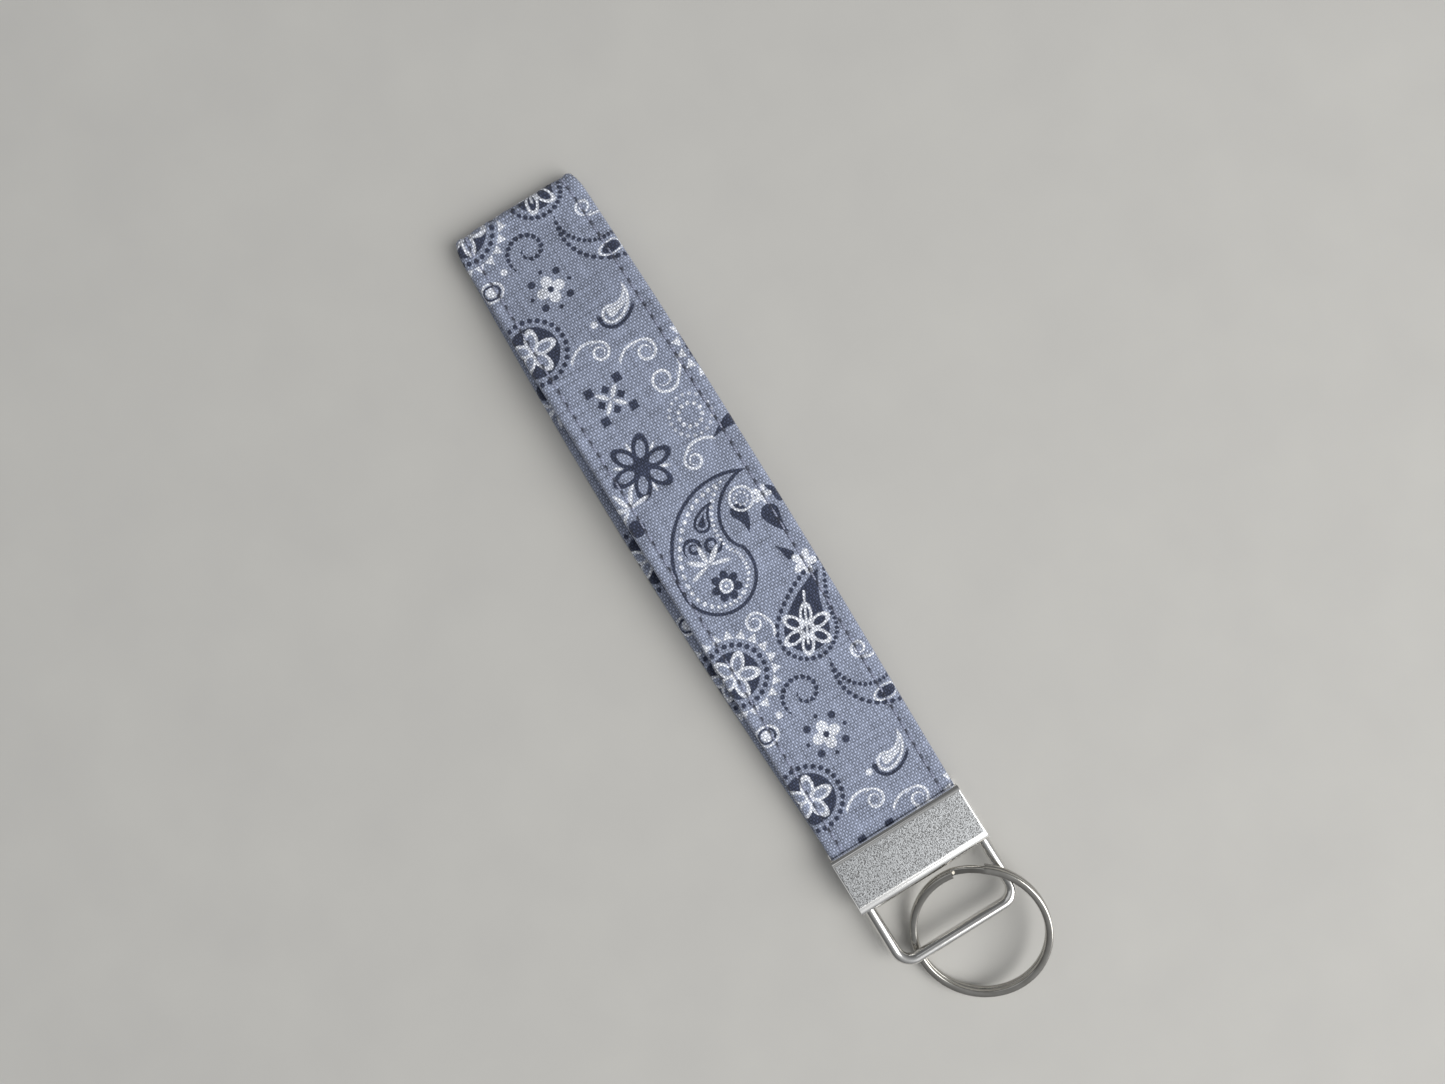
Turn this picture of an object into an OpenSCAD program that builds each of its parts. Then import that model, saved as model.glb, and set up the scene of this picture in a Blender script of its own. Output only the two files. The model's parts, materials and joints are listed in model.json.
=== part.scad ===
// Wristlet keychain: a sewn cotton strap folded into a wrist loop, a crimped steel end,
// a wire bail that hinges in it, and a two-turn split ring linked on the bail.
// Millimetres, +Z up. The part lies flat on Z = 0 with the ring towards +X.
// The origin is the centre of the clamp's flat back face.

/* [Strap] */
// Width of the sewn strap
strap_w = 24.8; // [15:0.2:38]
// Length of the loop, from the clamp's lip to the fold
loop_len = 124.5; // [80:0.5:180]
// Thickness of one leg of the strap
strap_t = 1.7; // [1.2:0.1:2.4]
// Thickness of the folded cotton on each face
cloth_t = 0.45; // [0.3:0.05:0.5]
// Cotton at each long edge, where it folds round
edge_t = 0.9; // [0.6:0.1:1.5]
// Widest gap between the two legs, where the loop springs open
loop_gap = 4.8; // [4.4:0.2:9]
// Gap inside the fold at the far end
fold_gap = 0.8; // [0.6:0.1:3]
// Air between the two legs where the clamp holds them
held_gap = 0.1; // [0.05:0.05:0.4]

/* [Stitching] */
// Distance from a long edge to its row of stitches
stitch_inset = 2.4; // [1.5:0.1:4]
// Width of a thread
thread_w = 0.4; // [0.3:0.05:0.6]
// Depth to which a thread pulls into the cotton
thread_sink = 0.2; // [0.15:0.05:0.25]

/* [Clamp] */
// Clamp's overhang past each edge of the strap
clamp_side = 0.3; // [0.1:0.05:0.6]
// Length of the clamp along the strap
clamp_len = 11.2; // [9:0.2:18]
// Thickness of its sheet steel
sheet_t = 0.9; // [0.7:0.05:1.1]
// Outer radius of the bends at its closed end
bend_r = 1.5; // [1.3:0.1:1.7]
// Outer radius of the lips that turn in on the cotton
lip_r = 1; // [1:0.05:1.3]
// Distance between the lips' teeth, about
tooth_pitch = 1.8; // [1.6:0.1:3]
// Width of one tooth
tooth_w = 1; // [0.8:0.1:1.4]
// Depth to which the teeth bite below the strap's face
tooth_bite = 0.6; // [0.4:0.1:0.8]

/* [Bail] */
// Diameter of the bail's wire
wire_d = 2; // [1.6:0.1:2.2]
// Distance of its legs' centre lines in from the clamp's ends
leg_inset = 1.25; // [1.2:0.05:2]
// Distance that the bar stands beyond the clamp's end
bail_reach = 10.9; // [9:0.1:16]
// Centre-line radius of the bail's outer corners
bail_corner_r = 2.8; // [2:0.1:4]
// Centre-line radius of its corners inside the clamp
hidden_corner_r = 1.4; // [1.3:0.1:1.8]
// Sideways slip of the bail in the clamp
bail_side = 0.2; // [0:0.05:0.3]
// Swing of the bail to each side of the clamp's plane
bail_swing = 35; // [20:1:38]

/* [Split ring] */
// Outside diameter of the ring
ring_od = 24; // [20:0.5:30]
// Radial width of its flat wire
ring_band = 1.25; // [1:0.05:1.8]
// Height of one turn
turn_h = 0.95; // [0.7:0.05:1.1]
// Air between the two turns
turn_gap = 0.08; // [0.05:0.01:0.15]
// Bevel along the wire's corners
band_bevel = 0.25; // [0.1:0.05:0.3]
// Angle between the wire's two free ends
joggle_span = 28; // [22:1:40]
// Direction of the joggle between them, about the ring
joggle_at = 161; // [0:1:359]
// Distance of the ring's edge from the clamp's end
ring_gap = 0.75; // [0.6:0.05:1.2]
// Distance from the far leg at which the ring passes under the bar
under_at = 3.07; // [2.9:0.01:4]
// Dip of the ring away from the clamp
ring_dip = 3.4; // [2:0.2:4.5]

/* [Fit] */
// Gap round the bail's wire where it hinges
hinge_gap = 0.1; // [0.05:0.01:0.15]
// Gap between the strap's cut ends and the bail
end_gap = 0.3; // [0.2:0.05:0.6]
// Gap between the bail's legs and the clamp's web
web_gap = 0.05; // [0.03:0.01:0.1]
// Room over the ring where the bar lies across it
under_gap = 0.4; // [0.35:0.01:0.6]
// Room under the ring where it lies across the bail's leg
over_gap = 0.92; // [0.85:0.01:1.2]

/* [Hidden] */
$fn = 48;

// Clamp
clamp_w = strap_w + 2 * clamp_side;
clamp_h = 2 * strap_t + 2 * sheet_t + held_gap;
mid_z = clamp_h / 2;
lip_x = -clamp_len / 2;
end_x = clamp_len / 2;
wire_r = wire_d / 2;
bail_w = clamp_w - 2 * leg_inset;
hinge_x = end_x - sheet_t - hinge_gap - wire_r;
web_half = bail_w / 2 - hidden_corner_r - bail_side - web_gap;
lip_steps = 6;
bend_steps = 8;

// Strap
core_t = strap_t - 2 * cloth_t;
cut_x = hinge_x - wire_r - end_gap;
fold_r = (strap_t + fold_gap) / 2;
fold_x = lip_x - loop_len + fold_r + strap_t / 2;
settle_len = 9;
spring_len = 32;
close_len = 64;
settle_steps = 9;
fold_steps = 14;
spring_steps = 16;
close_steps = 22;
under_z = strap_t / 2;
held_low_z = sheet_t + strap_t / 2;
held_high_z = held_low_z + strap_t + held_gap;
fold_top_z = under_z + 2 * fold_r;
open_z = strap_t * 1.5 + loop_gap;
row_y = strap_w / 2 - stitch_inset;

// Teeth, spaced so that each row of stitches passes midway between two of them
teeth_between = round(2 * row_y / tooth_pitch);
tooth_step = 2 * row_y / teeth_between;
teeth_beyond = floor((clamp_w / 2 - row_y - tooth_w / 2 + tooth_step / 2) / tooth_step);
teeth = teeth_between + 2 * teeth_beyond;

// Split ring's place, and where it passes under the bar and over the near leg
ring_r = ring_od / 2;
turn_pitch = turn_h + turn_gap;
stack_h = turn_pitch + turn_h;
ring_mid_r = ring_r - ring_band / 2;
ring_x = end_x + ring_gap + ring_r * cos(ring_dip);
bar_ahead = ring_x - end_x - bail_reach;
half_chord = sqrt(ring_mid_r * ring_mid_r - bar_ahead * bar_ahead);
ring_side = bail_side - bail_w / 2 + under_at + half_chord;
over_y = min(bail_side + bail_w / 2 - ring_side, half_chord);
over_ahead = sqrt(ring_mid_r * ring_mid_r - over_y * over_y);

// Bail, its bar raised over the ring
bar_x = end_x - hinge_x + bail_reach;
over_share = (ring_x - over_ahead - hinge_x) / bar_x;
bar_rise = stack_h + bar_ahead * tan(ring_dip) + under_gap + wire_r;
leg_rise = mid_z * (1 - over_share) + bar_rise * over_share + wire_r + over_gap;
ring_lean = asin((leg_rise - over_ahead * tan(ring_dip))
  / (ring_r + over_y - over_share * (ring_r - half_chord)));
bail_rest = asin((bar_rise + (ring_r - half_chord) * sin(ring_lean) - mid_z) / bar_x);

// Split ring's height
ring_tilt = acos(cos(ring_lean) * cos(ring_dip));
ring_z = ring_r * sin(ring_tilt) + stack_h / 2 * cos(ring_tilt);
joggle_tilt = asin(turn_pitch / 2 / ((ring_r - ring_band / 2) * sin(joggle_span / 2)));

// Smooth step from 0 to 1
function ease(t) = let (u = min(max(t, 0), 1)) u * u * (3 - 2 * u);

// Height of the lower leg's centre line
function lower_z(x) = under_z + (held_low_z - under_z) * ease((x - lip_x + settle_len) / settle_len);

// Height of the upper leg's centre line: up from the fold, level, and down to the clamp
function upper_z(x) = fold_top_z
  + (open_z - fold_top_z) * ease((x - fold_x) / spring_len)
  - (open_z - held_high_z) * ease((x - lip_x + close_len) / close_len);

// Points of an arc about [x, z]
function arc(x, z, r, from, to, steps) =
  [for (i = [0:steps]) let (a = from + (to - from) * i / steps) [x + r * cos(a), z + r * sin(a)]];

// The strap's centre line, from the lower cut end round the fold to the upper one
function strap_line(extra) = concat(
  [[cut_x + extra, held_low_z]],
  [for (i = [0:settle_steps]) let (x = lip_x - settle_len * i / settle_steps) [x, lower_z(x)]],
  arc(fold_x, under_z + fold_r, fold_r, 270, 90, fold_steps),
  [for (i = [1:spring_steps]) let (x = fold_x + spring_len * i / spring_steps) [x, upper_z(x)]],
  [for (i = [0:close_steps]) let (x = lip_x - close_len * (1 - i / close_steps)) [x, upper_z(x)]],
  [[cut_x + extra, held_high_z]]
);

// The clamp's sheet, from the upper lip round the closed end to the lower lip
function sheet_line() = concat(
  arc(lip_x + lip_r, clamp_h - lip_r, lip_r - sheet_t / 2, 180, 90, lip_steps),
  arc(end_x - bend_r, clamp_h - bend_r, bend_r - sheet_t / 2, 90, 0, bend_steps),
  arc(end_x - bend_r, bend_r, bend_r - sheet_t / 2, 0, -90, bend_steps),
  arc(lip_x + lip_r, lip_r, lip_r - sheet_t / 2, 270, 180, lip_steps)
);

// Unit normal to the left of a line at its point i
function left(line, i) =
  let (a = line[max(i - 1, 0)], b = line[min(i + 1, len(line) - 1)], d = b - a)
  [-d[1], d[0]] / norm(d);

// Outline between two offsets from a line
function ribbon(line, inner, outer) = concat(
  [for (i = [0:len(line) - 1]) line[i] + outer * left(line, i)],
  [for (i = [len(line) - 1:-1:0]) line[i] + inner * left(line, i)]
);

// An XZ outline given a width along Y
module across(points, width, at = 0) {
  translate([0, at, 0])
    rotate([90, 0, 0])
      linear_extrude(height = width, center = true)
        polygon(points);
}

// A stitch row's thread: side is -1 or 1, face is 1 outside the loop and -1 inside
module thread(side, face, rise = 0, extra = 0) {
  near = face * (strap_t / 2 - thread_sink);
  far = face * (strap_t / 2 + rise);
  across(ribbon(strap_line(extra), min(near, far), max(near, far)), thread_w, side * row_y);
}

// Where the clamp's lips and teeth press into the strap
module bite() {
  for (top = [0, 1])
    translate([0, 0, top * clamp_h])
      mirror([0, 0, top]) {
        translate([lip_x, -clamp_w / 2, 0])
          cube([lip_r, clamp_w, lip_r]);
        tooth_row();
      }
}

// One row of teeth along the lower lip
module tooth_row() {
  root = 0.1;
  for (i = [0:teeth - 1])
    translate([lip_x, (i - (teeth - 1) / 2) * tooth_step - tooth_w / 2, lip_r - root])
      cube([sheet_t, tooth_w, sheet_t + tooth_bite - lip_r + root]);
}

module fabric_cover() {
  past_face = 0.5;
  past_end = 1;
  color("#8e93b3")
    difference() {
      across(ribbon(strap_line(0), -strap_t / 2, strap_t / 2), strap_w);
      across(ribbon(strap_line(past_end), -core_t / 2, core_t / 2), strap_w - 2 * edge_t);
      for (side = [-1, 1]) {
        thread(side, 1, past_face, past_end);
        thread(side, -1, held_gap / 4, past_end);
      }
      bite();
    }
}

module interfacing_core() {
  color("white")
    difference() {
      across(ribbon(strap_line(0), -core_t / 2, core_t / 2), strap_w - 2 * edge_t);
      bite();
    }
}

module needle_thread_left() {
  color("#b9bbd0")
    difference() {
      thread(-1, 1);
      bite();
    }
}

module needle_thread_right() {
  color("#b9bbd0")
    difference() {
      thread(1, 1);
      bite();
    }
}

module bobbin_thread_left() {
  color("#a4a7c2") thread(-1, -1);
}

module bobbin_thread_right() {
  color("#a4a7c2") thread(1, -1);
}

module crimp_clamp() {
  swept = (wire_r + hinge_gap) / cos(bail_swing);
  past = end_x + 1 - hinge_x;
  color("silver")
    difference() {
      union() {
        across(ribbon(sheet_line(), -sheet_t / 2, sheet_t / 2), clamp_w);
        tooth_row();
        translate([0, 0, clamp_h]) mirror([0, 0, 1]) tooth_row();
      }
      for (side = [-1, 1])
        across([
          [hinge_x, mid_z - swept],
          [hinge_x + past, mid_z - swept - past * tan(bail_swing)],
          [hinge_x + past, mid_z + swept + past * tan(bail_swing)],
          [hinge_x, mid_z + swept]
        ], clamp_w, side * (web_half + clamp_w / 2));
    }
}

// A quarter bend of the bail's wire
module wire_bend(x, y, r, from) {
  translate([x, y, 0])
    rotate([0, 0, from])
      rotate_extrude(angle = 90)
        translate([r, 0]) circle(d = wire_d);
}

module bail() {
  leg = bar_x - bail_corner_r - hidden_corner_r;
  bar = bail_w - 2 * bail_corner_r;
  half_gap = 0.15;
  hidden = bail_w / 2 - hidden_corner_r - half_gap;
  color("#d8dadd")
    translate([hinge_x, bail_side, mid_z])
      rotate([0, -bail_rest, 0]) {
        translate([bar_x, bar / 2, 0]) rotate([90, 0, 0]) cylinder(h = bar, d = wire_d);
        for (side = [0, 1])
          mirror([0, side, 0]) {
            translate([hidden_corner_r, bail_w / 2, 0]) rotate([0, 90, 0]) cylinder(h = leg, d = wire_d);
            translate([0, half_gap, 0]) rotate([-90, 0, 0]) cylinder(h = hidden, d = wire_d);
            wire_bend(bar_x - bail_corner_r, bail_w / 2 - bail_corner_r, bail_corner_r, 0);
            wire_bend(hidden_corner_r, bail_w / 2 - hidden_corner_r, hidden_corner_r, 90);
          }
      }
}

// Part of a turn of the split ring's flat wire
module ring_turn(from, sweep) {
  rotate([0, 0, from])
    rotate_extrude(angle = sweep)
      translate([ring_r - ring_band, -turn_h / 2])
        polygon([
          [band_bevel, 0], [ring_band - band_bevel, 0],
          [ring_band, band_bevel], [ring_band, turn_h - band_bevel],
          [ring_band - band_bevel, turn_h], [band_bevel, turn_h],
          [0, turn_h - band_bevel], [0, band_bevel]
        ]);
}

module split_ring() {
  overlap = 2;
  color("#c9cbcf")
    translate([ring_x, ring_side, ring_z])
      rotate([ring_lean, ring_dip, 0]) {
        for (level = [-1, 1])
          translate([0, 0, level * turn_pitch / 2])
            ring_turn(joggle_at + joggle_span / 2, 360 - joggle_span);
        rotate([0, 0, joggle_at])
          rotate([-joggle_tilt, 0, 0])
            ring_turn(-joggle_span / 2 - overlap, joggle_span + 2 * overlap);
      }
}

fabric_cover();
interfacing_core();
needle_thread_left();
needle_thread_right();
bobbin_thread_left();
bobbin_thread_right();
crimp_clamp();
bail();
split_ring();
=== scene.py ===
# %% [markdown]
# # Wristlet keychain
# A sewn cotton strap folded into a loop, a crimped steel end, a wire bail and a split ring.
# The designed parts arrive as a fixed frame. Each piece that shows is then made again here,
# in the same place, with the finish that the real one has.

# %% Load the frame
import json
import math
import bmesh
import bpy
import numpy as np
from mathutils import Matrix, Vector, noise


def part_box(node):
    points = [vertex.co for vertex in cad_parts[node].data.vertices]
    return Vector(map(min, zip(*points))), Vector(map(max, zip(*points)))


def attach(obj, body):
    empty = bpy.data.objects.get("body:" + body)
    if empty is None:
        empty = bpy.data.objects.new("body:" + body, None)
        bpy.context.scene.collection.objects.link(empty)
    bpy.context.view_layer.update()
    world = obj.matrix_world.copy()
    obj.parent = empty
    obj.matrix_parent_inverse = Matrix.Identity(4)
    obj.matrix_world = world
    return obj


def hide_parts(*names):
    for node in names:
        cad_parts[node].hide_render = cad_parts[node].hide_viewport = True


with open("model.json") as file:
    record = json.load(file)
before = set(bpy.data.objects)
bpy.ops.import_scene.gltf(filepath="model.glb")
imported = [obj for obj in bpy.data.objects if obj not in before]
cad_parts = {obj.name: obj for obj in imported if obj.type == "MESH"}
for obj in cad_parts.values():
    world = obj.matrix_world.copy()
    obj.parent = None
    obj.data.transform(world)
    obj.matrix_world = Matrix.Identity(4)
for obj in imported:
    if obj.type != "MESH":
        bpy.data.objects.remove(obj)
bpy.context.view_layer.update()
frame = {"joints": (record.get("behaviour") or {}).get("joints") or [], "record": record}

# %% [markdown]
# ## Sizes
# Everything is in metres, so one millimetre gets a name. Most places are read from the boxes of
# the designed parts and from the joints. Only the thicknesses that a box can't tell are repeated.

# %% Sizes from the frame
MM = 0.001
STRAP_T = 1.7 * MM
SHEET_T = 0.9 * MM
WIRE_D = 2.0 * MM
STITCH_PITCH = 2.5 * MM

cover_low, cover_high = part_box("fabric_cover")
core_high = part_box("interfacing_core")[1]
clamp_low, clamp_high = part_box("crimp_clamp")
row_low, row_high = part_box("needle_thread_right")
HALF_W = cover_high.y
ROW_Y = (row_low.y + row_high.y) / 2
CLAMP_H = clamp_high.z
MID_Z = CLAMP_H / 2
LIP_X = clamp_low.x
END_X = clamp_high.x
CUT_X = cover_high.x
joint_at = {joint["name"]: Vector(joint["pos_m"]) for joint in frame["joints"]}
HINGE = joint_at["bail_swing"]
BAR = joint_at["ring_swing"]
for what, size in (("half width", HALF_W), ("stitch row", ROW_Y), ("clamp height", CLAMP_H)):
    print(f"{what}: {size / MM:.2f} mm")

# %% [markdown]
# ## Camera
# A wide lens looks straight down from a hand's height above the table, as a phone would.
# Its roll lays the strap from the upper left to the lower right.

# %% Camera
CAMERA_PLACE = (-61.7 * MM, 0.48 * MM, 190 * MM)
CAMERA_ROLL = math.radians(58.25)
FOCAL_LENGTH = 27.03

lens = bpy.data.cameras.new("camera")
lens.sensor_width = 36
lens.lens = FOCAL_LENGTH
lens.clip_start = 0.005
camera = bpy.data.objects.new("camera", lens)
camera.location = CAMERA_PLACE
camera.rotation_euler = (0, 0, CAMERA_ROLL)
bpy.context.scene.collection.objects.link(camera)
bpy.context.scene.camera = camera
print("field of view, degrees:", round(math.degrees(lens.angle), 1))

# %% [markdown]
# ## Shader maths
# A material here is mostly arithmetic on places. Wiring each Math node by hand hides the idea, so
# a small class wraps a node's output: adding or multiplying two of them adds the Math node. A
# second class holds the material, with a short method for each kind of node that is wanted.

# %% A value that varies over a surface
class Varying:
    """A number from a node's output. Arithmetic on it adds Math nodes."""

    def __init__(self, finish, socket):
        self.finish = finish
        self.socket = socket

    def __add__(self, other):
        return self.finish.maths("ADD", self, other)

    def __sub__(self, other):
        return self.finish.maths("SUBTRACT", self, other)

    def __rsub__(self, other):
        return self.finish.maths("SUBTRACT", other, self)

    def __mul__(self, other):
        return self.finish.maths("MULTIPLY", self, other)

    def __truediv__(self, other):
        return self.finish.maths("DIVIDE", self, other)

    def __rtruediv__(self, other):
        return self.finish.maths("DIVIDE", other, self)

    def __pow__(self, other):
        return self.finish.maths("POWER", self, other)

    def __abs__(self):
        return self.finish.maths("ABSOLUTE", self)

    def __lt__(self, other):
        return self.finish.maths("LESS_THAN", self, other)

    def __gt__(self, other):
        return self.finish.maths("GREATER_THAN", self, other)

    __radd__ = __add__
    __rmul__ = __mul__


# %% A material and its nodes
class Finish:
    """A material whose nodes are added one at a time."""

    def __init__(self, name, **constants):
        self.material = bpy.data.materials.new(name)
        self.material.use_nodes = True
        self.nodes = self.material.node_tree.nodes
        self.links = self.material.node_tree.links
        self.shader = self.nodes["Principled BSDF"]
        for socket, value in constants.items():
            self.shader.inputs[socket.replace("_", " ")].default_value = value

    def node(self, kind, inputs, output=0, **settings):
        """Any node: settings first, then the values or links of its sockets."""
        made = self.nodes.new("ShaderNode" + kind)
        for name, value in settings.items():
            setattr(made, name, value)
        for key, value in inputs.items():
            self.feed(made.inputs[key], value)
        return Varying(self, made.outputs[output])

    def feed(self, socket, value):
        if isinstance(value, Varying):
            self.links.new(value.socket, socket)
        else:
            socket.default_value = value

    def maths(self, operation, *values, clamp=False):
        return self.node("Math", dict(enumerate(values)), operation=operation, use_clamp=clamp)

    def vector(self, operation, *values):
        return self.node("VectorMath", dict(enumerate(values)), operation=operation)

    def larger(self, a, b):
        return self.maths("MAXIMUM", a, b)

    def length(self, x, y):
        joined = self.node("CombineXYZ", {0: x, 1: y})
        return self.node("VectorMath", {0: joined}, "Value", operation="LENGTH")

    def wrap(self, value, half):
        """Folds a value into the range from -half to half, over and over."""
        return self.maths("WRAP", value, half, -half)

    def within(self, distance, reach, soft):
        """1 where a distance is below reach, fading to 0 over the width soft."""
        return self.maths("MULTIPLY_ADD", distance, -1 / soft, reach / soft + 0.5, clamp=True)

    def mix(self, amount, below, above):
        """A colour between two, by an amount from 0 to 1."""
        return self.node("Mix", {"Factor": amount, 6: below, 7: above}, 2, data_type="RGBA")

    def grain(self, place, scale, detail=2.0, roughness=0.5):
        inputs = {"Vector": place, "Scale": scale, "Detail": detail, "Roughness": roughness}
        return self.node("TexNoise", inputs, "Fac")

    def bump(self, height, distance, strength=1.0):
        inputs = {"Strength": strength, "Distance": distance, "Height": height}
        self.feed(self.shader.inputs["Normal"], self.node("Bump", inputs))

    def show(self, **inputs):
        for socket, value in inputs.items():
            self.feed(self.shader.inputs[socket.replace("_", " ")], value)


# %% [markdown]
# ## From a shape to a piece
# A bmesh is a shape being worked on. Once it is written to a mesh it becomes an object, which gets
# its finish as a material, moves with a body of the frame, and hides the designed part that it
# takes the place of.

# %% Making a piece from a bmesh
def piece(name, shape, body, finish, stands_for=(), smooth=40):
    """Turns a bmesh into a named piece that moves with a body of the frame."""
    mesh = bpy.data.meshes.new(name)
    shape.to_mesh(mesh)
    shape.free()
    mesh.materials.append(finish.material)
    mesh.shade_smooth()
    mesh.set_sharp_from_angle(angle=math.radians(smooth))
    made = bpy.data.objects.new(name, mesh)
    bpy.context.scene.collection.objects.link(made)
    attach(made, body)
    for node in stands_for:
        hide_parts(node)
    print(f"{name}: {len(mesh.vertices)} points, {len(mesh.polygons)} faces")
    return made


# %% [markdown]
# ## The strap's route
# The strap is one folded strip: from its lower cut end in the clamp, along the table, round the
# fold and back along the sprung upper leg. Its centre line is a formula, so the line is sampled
# finely once, with the length measured along it, and every later piece looks places up on it.

# %% Centre line of the strap
SETTLE_LEN = 9 * MM
SPRING_LEN = 32 * MM
CLOSE_LEN = 64 * MM
LINE_STEP = 0.25 * MM
FOLD_R = 1.25 * MM
FOLD_POINTS = 24

low_z = STRAP_T / 2
held_low_z = SHEET_T + STRAP_T / 2
held_high_z = CLAMP_H - held_low_z
fold_x = cover_low.x + FOLD_R + STRAP_T / 2
fold_top_z = low_z + 2 * FOLD_R
open_z = cover_high.z - STRAP_T / 2


def ease(t):
    """A smooth step from 0 to 1."""
    t = np.clip(t, 0, 1)
    return t * t * (3 - 2 * t)


def steps(start, stop):
    """Evenly spaced places between two ends, a line step apart."""
    return np.linspace(start, stop, int(abs(stop - start) / LINE_STEP) + 1)


low_x = steps(CUT_X, fold_x)
low_leg = low_z + (held_low_z - low_z) * ease((low_x - LIP_X + SETTLE_LEN) / SETTLE_LEN)
turn = np.radians(np.linspace(270, 90, FOLD_POINTS)[1:-1])
high_x = steps(fold_x, CUT_X)
rise = (open_z - fold_top_z) * ease((high_x - fold_x) / SPRING_LEN)
drop = (open_z - held_high_z) * ease((high_x - LIP_X + CLOSE_LEN) / CLOSE_LEN)
line_x = np.concatenate([low_x, fold_x + FOLD_R * np.cos(turn), high_x])
line_z = np.concatenate([low_leg, low_z + FOLD_R + FOLD_R * np.sin(turn), fold_top_z + rise - drop])
line_at = np.concatenate([[0], np.cumsum(np.hypot(np.diff(line_x), np.diff(line_z)))])
tilt_x, tilt_z = np.gradient(line_x, line_at), np.gradient(line_z, line_at)
STRAP_LEN = float(line_at[-1])
FOLD_AT = float(line_at[len(low_x)] + FOLD_R * math.pi / 2)
print("strap length along its middle, mm:", round(STRAP_LEN / MM, 1))

# %% [markdown]
# A hand-sewn loop never lies perfectly straight: here the upper leg bows half a millimetre one way
# and the lower leg more the other way. The clamp holds both true, and the strip is a little
# narrower where it is folded.

# %% Places on the strap
UPPER_BOW = 0.5 * MM
LOWER_BOW = 1.6 * MM
BOW_BLEND = 8 * MM
FOLD_DRAW = 0.05
FOLD_DRAW_REACH = 2.2 * MM
BENCH_GAP = 0.01 * MM


def strap_place(along, across, out):
    """The place a distance along the strap, across it, and out from its middle. Cloth flattens
    where it meets the bench."""
    x = np.interp(along, line_at, line_x)
    z = np.interp(along, line_at, line_z)
    run = math.hypot(np.interp(along, line_at, tilt_x), np.interp(along, line_at, tilt_z))
    dx = np.interp(along, line_at, tilt_x) / run
    dz = np.interp(along, line_at, tilt_z) / run
    span = min(max((x - cover_low.x) / (LIP_X - cover_low.x), 0), 1)
    upper = 0.5 + 0.5 * math.tanh((along - FOLD_AT) / BOW_BLEND)
    side = math.sin(math.pi * span) * (UPPER_BOW * upper - LOWER_BOW * (1 - upper))
    drawn = 1 - FOLD_DRAW * math.exp(-((along - FOLD_AT) / FOLD_DRAW_REACH) ** 2)
    return Vector((x - dz * out, across * drawn + side, max(z + dx * out, BENCH_GAP)))


top_of_loop = max(strap_place(along, 0, STRAP_T / 2).z for along in line_at)
print("top of the sprung leg, mm:", round(top_of_loop / MM, 2))

# %% [markdown]
# ## Cotton print
# The cover is plain-woven quilting cotton with a bandana print: small flowers, curls, a paisley
# and dotted medallions in white and navy on blue-grey. A picture could carry it, but drawn shapes
# stay sharp at any size. Each motif is a distance: how far is this thread from a circle, a petal,
# a leaf or a spiral? All distances are in millimetres on the cloth's own UV map, and the whole
# design repeats along the strap.

# %% The cloth's finish
REPEAT = 89.0
RAGGED = 0.22

cotton = Finish("printed_cotton", Roughness=0.9, Sheen_Weight=0.25, Sheen_Roughness=0.5,
                Specular_IOR_Level=0.25)
cloth_uv = cotton.node("UVMap", {}, uv_map="cloth")
wobble = cotton.node("TexNoise", {"Vector": cloth_uv, "Scale": 1.7, "Detail": 1.0}, "Color")
ragged = cotton.vector("MULTIPLY_ADD", wobble, (RAGGED, RAGGED, 0), cloth_uv)
print("the print repeats every", REPEAT, "mm")

# %% [markdown]
# A motif looks at the cloth from its own middle. Its place is wrapped, so it comes back at every
# repeat, and the edges are ragged by a thread's width, as printing on a weave leaves them.

# %% Motif helpers
class Motif:
    """A place in the print: the cloth seen from its middle, turned and repeated."""

    def __init__(self, x, y, turn=0.0):
        shifted = cotton.vector("SUBTRACT", ragged, (x, y, 0))
        reach = REPEAT / 2
        folded = cotton.vector("WRAP", shifted, (reach, reach, 1), (-reach, -reach, -1))
        turned = cotton.node("VectorRotate", {"Vector": folded, "Angle": -math.radians(turn)},
                             rotation_type="Z_AXIS")
        self.r = cotton.node("VectorMath", {0: turned}, "Value", operation="LENGTH")
        self.x = cotton.node("SeparateXYZ", {0: turned}, "X")
        self.y = cotton.node("SeparateXYZ", {0: turned}, "Y")
        self.angle = cotton.maths("ARCTAN2", self.y, self.x)


def ink(distance, reach=0.0, soft=0.16):
    """Printed where a distance is below reach."""
    return cotton.within(distance, reach, soft)


def line(distance, width):
    """A printed line along the places where a distance is 0."""
    return ink(abs(distance), width / 2)


def around(motif, count, distance, turn=0.0):
    """Repeats a place about a motif's middle: how far along and across it each place is."""
    sector = cotton.wrap(motif.angle - math.radians(turn), math.pi / count)
    along = motif.r * cotton.maths("COSINE", sector) - distance
    across = motif.r * cotton.maths("SINE", sector)
    return along, across


def oval(along, across, half_long, half_wide):
    """Distance from an oval."""
    return (cotton.length(along / half_long, across / half_wide) - 1) * half_wide


def dots(motif, count, distance, radius, turn=0.0):
    """A circle of dots."""
    return ink(cotton.length(*around(motif, count, distance, turn)), radius)


# %% [markdown]
# A curl is a spiral that grows by the same share at each turn, so its angle plotted against the
# logarithm of its radius is a straight line. A leaf is a circle with a tapering tail, measured
# along the tail's bent middle line.

# %% Curls and leaves as distances
OPEN_OUT = 0.2
OPEN_OUT_BLEND = 0.15


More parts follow.
